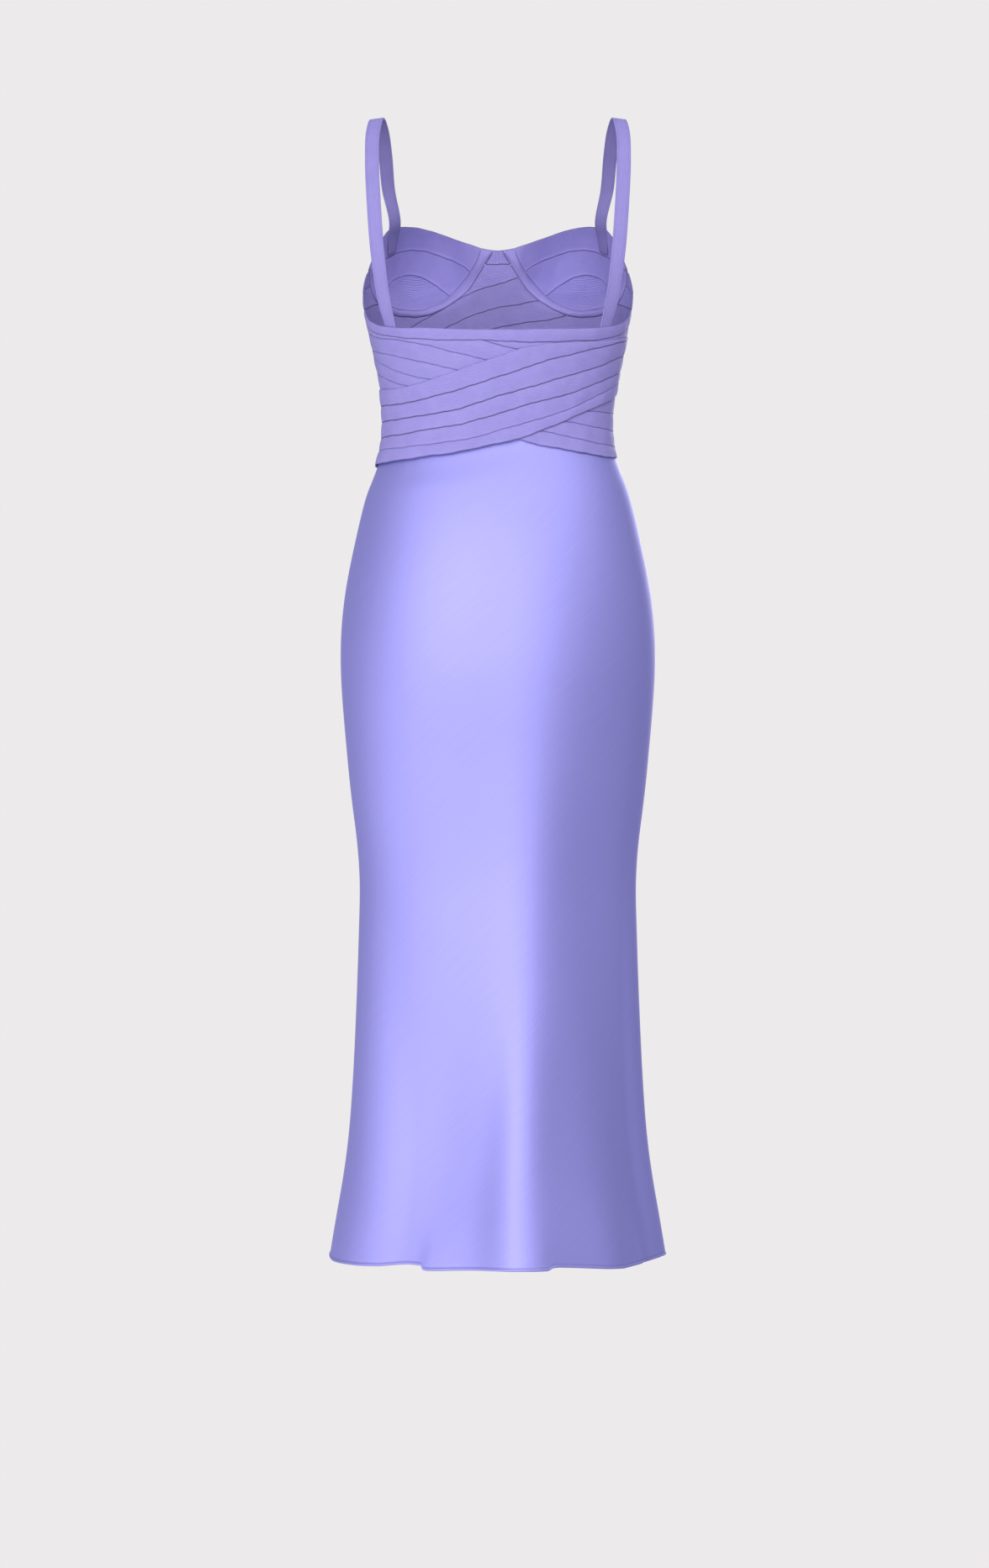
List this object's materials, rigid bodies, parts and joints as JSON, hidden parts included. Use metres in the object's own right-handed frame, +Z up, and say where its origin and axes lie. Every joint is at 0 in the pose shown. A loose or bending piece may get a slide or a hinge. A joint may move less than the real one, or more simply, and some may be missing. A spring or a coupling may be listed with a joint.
{
  "type": "bandage-bodice midi dress",
  "caption": "Midi dress with shoulder straps, a wired bodice of knit strips crossed over the back, and a flared satin skirt, filled out as worn.",
  "frame": {"origin": "midway between the undersides of the crowns of the two shoulder straps, where the wearer's shoulders hold the dress", "axes": "+Z up along the dress, -Y out of the front of the dress, +X to the wearer's left"},
  "size_m": [0.3592, 0.3292, 1.2143],
  "materials": {
    "bandage_knit": "matt rib knit in periwinkle",
    "knit_strap": "matt narrow knit band in periwinkle",
    "satin": "soft bias satin in periwinkle"
  },
  "bodies": {
    "root": {"back_neck_band": "bandage_knit", "back_under_strip_1": "bandage_knit", "back_under_strip_2": "bandage_knit", "back_under_strip_3": "bandage_knit", "back_under_strip_4": "bandage_knit", "back_under_strip_5": "bandage_knit", "back_under_strip_6": "bandage_knit", "back_over_strip_1": "bandage_knit", "back_over_strip_2": "bandage_knit", "back_over_strip_3": "bandage_knit", "back_over_strip_4": "bandage_knit", "back_over_strip_5": "bandage_knit", "front_strip_1": "bandage_knit", "front_strip_2": "bandage_knit", "front_strip_3": "bandage_knit", "front_strip_4": "bandage_knit", "front_strip_5": "bandage_knit", "front_strip_6": "bandage_knit", "front_strip_7": "bandage_knit", "front_strip_8": "bandage_knit", "front_strip_9": "bandage_knit", "front_strip_10": "bandage_knit", "cup_neck_band_left": "bandage_knit", "cup_middle_left": "bandage_knit", "cup_lower_left": "bandage_knit", "wire_channel_left": "bandage_knit", "side_upper_left": "bandage_knit", "side_lower_left": "bandage_knit", "strap_left": "knit_strap", "cup_neck_band_right": "bandage_knit", "cup_middle_right": "bandage_knit", "cup_lower_right": "bandage_knit", "wire_channel_right": "bandage_knit", "side_upper_right": "bandage_knit", "side_lower_right": "bandage_knit", "strap_right": "knit_strap", "gore_top": "bandage_knit", "gore_ribbed": "bandage_knit", "skirt_back": "satin", "skirt_front": "satin"}
  },
  "joints": []
}
